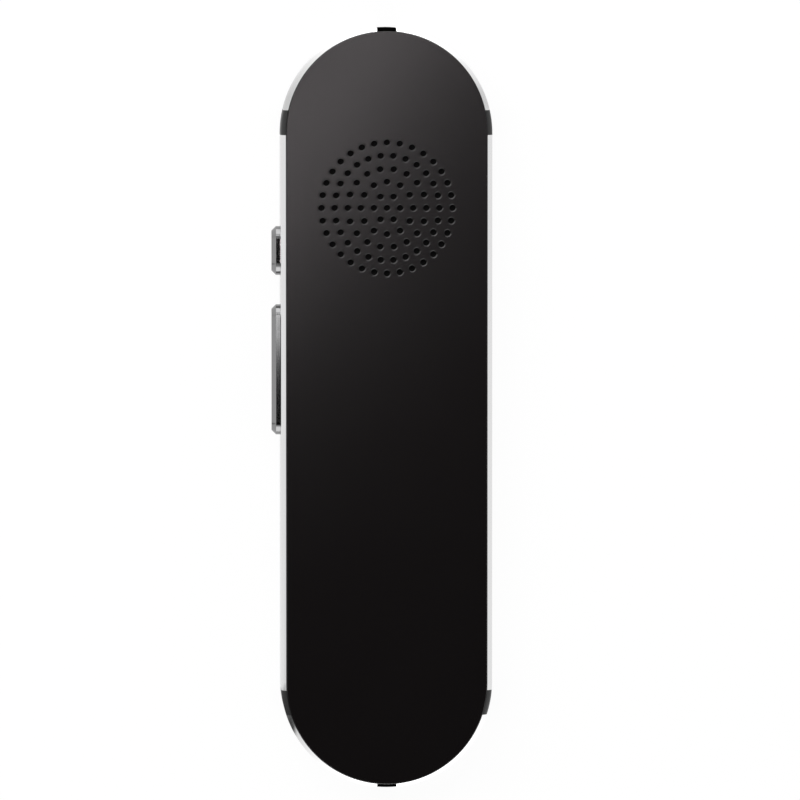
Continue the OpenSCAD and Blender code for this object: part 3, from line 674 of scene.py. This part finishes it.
def make_world():
    """Studio surround: a wall that stands taller where it is brighter, and dark overhead."""
    overhead = 0.01
    wall_top, dark_from, taller = 0.37, 0.62, 0.33
    world = bpy.data.worlds.new("studio")
    world.use_nodes = True
    bpy.context.scene.world = world
    shader = Shader(world.node_tree)
    across, along, up = shader.axes(shader.node("TexCoord", output="Generated"))
    wall = wall_tone(shader, across, along)
    height = shader.ramp(up - wall * taller, (0, 1), (wall_top, 1), (dark_from, 0), (1, 0))
    level = shader.blend(height, rgb(overhead / BRIGHTEST), wall)
    seen = Wire(shader, shader.node("LightPath").socket.node.outputs["Is Camera Ray"])
    level = shader.blend(seen, level, rgb(1 / BRIGHTEST))
    background = shader.node("Background", {}, {"Color": level, "Strength": BRIGHTEST})
    shader.node("OutputWorld", {}, {"Surface": background})


def add_lamp(name, size, brightness, place):
    """Flat lamp above the table, facing down; a white card under plain light has brightness 1."""
    lamp = bpy.data.lights.new(name, "AREA")
    lamp.shape = "RECTANGLE"
    lamp.size, lamp.size_y = size
    lamp.energy = math.pi * brightness * size[0] * size[1]
    holder = bpy.data.objects.new(name, lamp)
    holder.location = place
    bpy.context.scene.collection.objects.link(holder)
    return holder


def limit_lamp(lamp, node, state):
    """Lets a lamp reach one node alone (INCLUDE), or all but that node (EXCLUDE)."""
    chosen = bpy.data.collections.new(lamp.name + "_limit")
    chosen.objects.link(frame["nodes"][node])
    lamp.light_linking.receiver_collection = chosen
    chosen.collection_objects[0].light_linking.link_state = state


def make_sheen_lamp():
    """Long narrow lamp above the loudspeaker end, level and turned askew."""
    size, place = (217 * MM, 8 * MM), (20.2 * MM, 90.1 * MM, 268 * MM)
    brightness, turn, tint = 12.4, math.radians(54.2), (1, 0.93, 0.95)
    lamp = add_lamp("sheen_lamp", size, brightness, place)
    lamp.rotation_euler = (0, 0, turn)
    lamp.data.color = tint
    limit_lamp(lamp, "volume_rocker", "EXCLUDE")


def make_key_lamp():
    """Main soft lamp from the upper left, which casts the shadow on the floor."""
    size, brightness = (650 * MM, 650 * MM), 3.0
    place = Vector((-386 * MM, 386 * MM, 660 * MM))
    lamp = add_lamp("key_lamp", size, brightness, place)
    lamp.rotation_mode = "QUATERNION"
    lamp.rotation_quaternion = (-place).to_track_quat("-Z", "Y")


# Node that mirrors each lamp high above, brightness, and the lamp's ends along Y
KEY_STRIPS = {
    "rocker_strip": ("volume_rocker", 2.3, -101 * MM, 800 * MM),
    "upper_power_strip": ("power_button", 0.6, 60 * MM, 900 * MM),
    "lower_power_strip": ("power_button", 0.6, -1000 * MM, -180 * MM),
}


def make_key_strips():
    """Narrow lamps high above for the flat top and the round ends of the side keys."""
    width, across, height = 30 * MM, 26 * MM, 2310 * MM
    for name, (node, brightness, near_end, far_end) in KEY_STRIPS.items():
        place = (across, (near_end + far_end) / 2, height)
        strip = add_lamp(name, (width, far_end - near_end), brightness, place)
        limit_lamp(strip, node, "INCLUDE")


def make_camera():
    """Long lens above the grille side, a little up and left of the middle."""
    lens, sensor = 400, 36
    view_width = 144.79 * MM
    lean_left, lean_up = 0.0365, 0.055
    aim = Vector((2.435 * MM, 1.473 * MM, 9.5 * MM))
    distance = view_width * lens / sensor
    data = bpy.data.cameras.new("camera")
    data.lens = lens
    data.sensor_width = sensor
    data.clip_start, data.clip_end = 0.05, 20
    data.dof.use_dof = False
    camera = bpy.data.objects.new("camera", data)
    camera.location = aim + distance * Vector((-lean_left, lean_up, 1))
    back = (camera.location - aim).normalized()
    right = Vector((0, 1, 0)).cross(back).normalized()
    axes = Matrix((right, back.cross(right), back)).transposed()
    camera.rotation_euler = axes.to_euler()
    bpy.context.scene.collection.objects.link(camera)
    bpy.context.scene.camera = camera


bpy.context.scene.view_settings.view_transform = "Standard"
make_camera()
make_world()
make_sheen_lamp()
make_key_lamp()
make_key_strips()
make_floor()
finishes = finish_nodes()
make_seals(finishes["soft_rubber"])
add_springs(finishes["spring_steel"])
